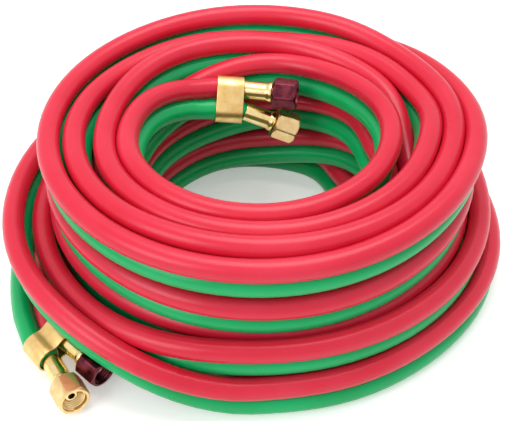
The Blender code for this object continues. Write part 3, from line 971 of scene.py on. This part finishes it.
# ---- Studio -------------------------------------------------------------------------------------------
@dataclass
class Studio:
    """Pale floor, white surroundings, soft lamps and the camera."""

    aim_height: float = 0.04725
    camera_distance: float = 0.675
    camera_elevation: float = 42.6
    lens: float = 76.2
    shift: tuple[float, float] = (-0.0108, -0.0382)
    floor_size: float = 8.0
    floor_lift: float = 0.35             # added where it is seen, so the floor looks white
    world_level: float = 0.62            # white surroundings' strength where they only give light

    @staticmethod
    def seen_directly(tree: bpy.types.NodeTree) -> bpy.types.NodeSocket:
        """Build a switch that is 1 where the camera, a reflection or a clear piece sees a surface.

        Args:
            tree: Node tree to build it in.

        Returns:
            The switch's output.
        """
        rays = add_node(tree, "LightPath")
        seen = add_node(tree, "Math", {"operation": "MAXIMUM"},
                        {0: rays.outputs["Is Camera Ray"], 1: rays.outputs["Is Glossy Ray"]})
        seen = add_node(tree, "Math", {"operation": "MAXIMUM"},
                        {0: seen.outputs[0], 1: rays.outputs["Is Transmission Ray"]})
        return seen.outputs[0]

    def add_floor(self) -> bpy.types.Object:
        """Lay a floor that looks white and keeps the coil's shadow."""
        shape = bmesh.new()
        bmesh.ops.create_grid(shape, x_segments=1, y_segments=1, size=self.floor_size / 2)
        material = bpy.data.materials.new("matt_white_paper")
        material.use_nodes = True
        tree = material.node_tree
        shader = tree.nodes["Principled BSDF"]
        shader.inputs["Base Color"].default_value = grey(0.92)
        shader.inputs["Roughness"].default_value = 0.9
        shader.inputs["Specular IOR Level"].default_value = 0.0
        shader.inputs["Emission Color"].default_value = grey(1.0)
        lift = add_node(tree, "Math", {"operation": "MULTIPLY"},
                        {0: self.seen_directly(tree), 1: self.floor_lift})
        tree.links.new(lift.outputs[0], shader.inputs["Emission Strength"])
        return finish_piece("studio_floor", shape, Matrix.Translation((0, 0, -0.0002)), material)

    def add_world(self) -> None:
        """Light everything from white surroundings that the camera sees as white."""
        world = bpy.data.worlds.new("white_room")
        bpy.context.scene.world = world
        world.use_nodes = True
        tree = world.node_tree
        background = tree.nodes["Background"]
        strength = add_node(tree, "MapRange", inputs={
            "Value": self.seen_directly(tree), "To Min": self.world_level, "To Max": 1.0})
        background.inputs["Color"].default_value = grey(1.0)
        tree.links.new(strength.outputs["Result"], background.inputs["Strength"])

    def add_lamp(self, name: str, place: Vector, size: float, power: float) -> None:
        """Add one square soft box aimed at the coil.

        Args:
            name: Lamp name.
            place: Where it stands.
            size: Side of the box.
            power: Watts.
        """
        lamp = bpy.data.lights.new(name, "AREA")
        lamp.shape = "SQUARE"
        lamp.size = size
        lamp.energy = power
        holder = bpy.data.objects.new(name, lamp)
        holder.location = place
        holder.rotation_euler = (Vector((0, 0, self.aim_height)) - place).to_track_quat("-Z", "Y").to_euler()
        bpy.context.scene.collection.objects.link(holder)

    def add_camera(self) -> None:
        """Set the camera above and in front of the coil."""
        elevation = math.radians(self.camera_elevation)
        target = COIL_AXIS + Vector((0, 0, self.aim_height))
        place = target + self.camera_distance * Vector((0, -math.cos(elevation), math.sin(elevation)))
        data = bpy.data.cameras.new("camera")
        data.lens = self.lens
        data.sensor_width = 36.0
        data.shift_x, data.shift_y = self.shift
        camera = bpy.data.objects.new("camera", data)
        camera.location = place
        camera.rotation_euler = (target - place).to_track_quat("-Z", "Y").to_euler()
        bpy.context.scene.collection.objects.link(camera)
        bpy.context.scene.camera = camera

    def build(self) -> None:
        """Set up the whole studio."""
        self.add_floor()
        self.add_world()
        self.add_lamp("overhead_box", Vector((0.1, 0.3, 1.5)), 1.0, 13.0)
        self.add_lamp("front_left_box", Vector((-1.1, -1.0, 1.0)), 0.9, 10.0)
        self.add_camera()
        bpy.context.scene.view_settings.view_transform = "Standard"


# ---- The part -------------------------------------------------------------------------------------------
@dataclass
class WeldingHoseCoil:
    """The coil with both hoses and both sets of end fittings."""

    route: CoilRoute

    def build_fittings(self, end: HoseEnd, finishes: dict) -> dict[Gas, list]:
        """Build an end's band, ferrules, nipples and nuts, and say what they ride on.

        Args:
            end: The end to build.
            finishes: Materials by name.

        Returns:
            The pieces on each hose, the band with the fuel hose.
        """
        band = Band(end).build(finishes["band"])
        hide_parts(f"band_{end.name}")
        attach(band, "coil")
        pieces = {Gas.FUEL: [band], Gas.OXYGEN: []}
        for gas in Gas:
            fitting = Fitting(end, gas)
            ferrule = fitting.build_ferrule(finishes["ferrule"])
            nipple = fitting.build_nipple(finishes["ferrule"])
            nut = fitting.build_nut(finishes["maroon" if gas is Gas.FUEL else "nut"])
            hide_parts(f"{gas.label}_ferrule_{end.name}")
            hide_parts(f"{gas.label}_nipple_{end.name}")
            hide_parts(f"{gas.label}_nut_{end.name}")
            for piece in (ferrule, nipple):
                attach(piece, "coil")
            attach(nut, f"{gas.label}_{end.name.split('_')[0]}_nut")
            pieces[gas] += [ferrule, nipple, nut]
        return pieces

    def build_hose(self, gas: Gas, lines: dict, material: bpy.types.Material) -> None:
        """Args:
            gas: Which hose.
            lines: Coil lines of both hoses.
            material: Its finish.
        """
        twin = Gas.OXYGEN if gas is Gas.FUEL else Gas.FUEL
        hose = Hose(gas)
        points, radii, to_twin = hose.centre_line(lines[gas], lines[twin])
        piece = hose.build(points, radii, to_twin, material)
        length = float(np.linalg.norm(np.diff(points, axis=0), axis=1).sum())
        log.info("%s hose is %.2f m long", gas.label, length)
        rows = [f"{gas.label}_coil_row_{row}" for row in range(1, 5)]
        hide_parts(*rows, f"{gas.label}_hose_inner_end", f"{gas.label}_hose_outer_end")
        f"{gas.label}_hose_rubber"
        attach(piece, "coil")

    def build(self) -> None:
        """Build every piece in order."""
        finishes = {
            "band": Brass("brushed_brass", "F0CE8E", "E2B870", 0.34, 0.00004).material(),
            "ferrule": Brass("polished_brass", "F6DEA2", "EACB84", 0.20, 0.000006).material(),
            "nut": Brass("turned_brass", "F0D49C", "E4C084", 0.30, 0.00001).material(),
            "maroon": LacqueredBrass().material(),
        }
        rubbers = {
            Gas.FUEL: HoseRubber("red_rubber_hose_cover", "DC2640", "E0324A", "D41E38").material(),
            Gas.OXYGEN: HoseRubber("green_rubber_hose_cover", "00B264", "08BA6C", "00A85A").material(),
        }
        inner = self.build_fittings(INNER_END, finishes)
        outer = self.build_fittings(OUTER_END, finishes)
        lines = self.route.lines()
        for gas in Gas:
            self.build_hose(gas, lines, rubbers[gas])


def main() -> None:
    """Build the studio and the coil."""
    logging.basicConfig(level=logging.INFO, format="%(message)s")
    Studio().build()
    WeldingHoseCoil(CoilRoute()).build()


if __name__ == "__main__":
    main()
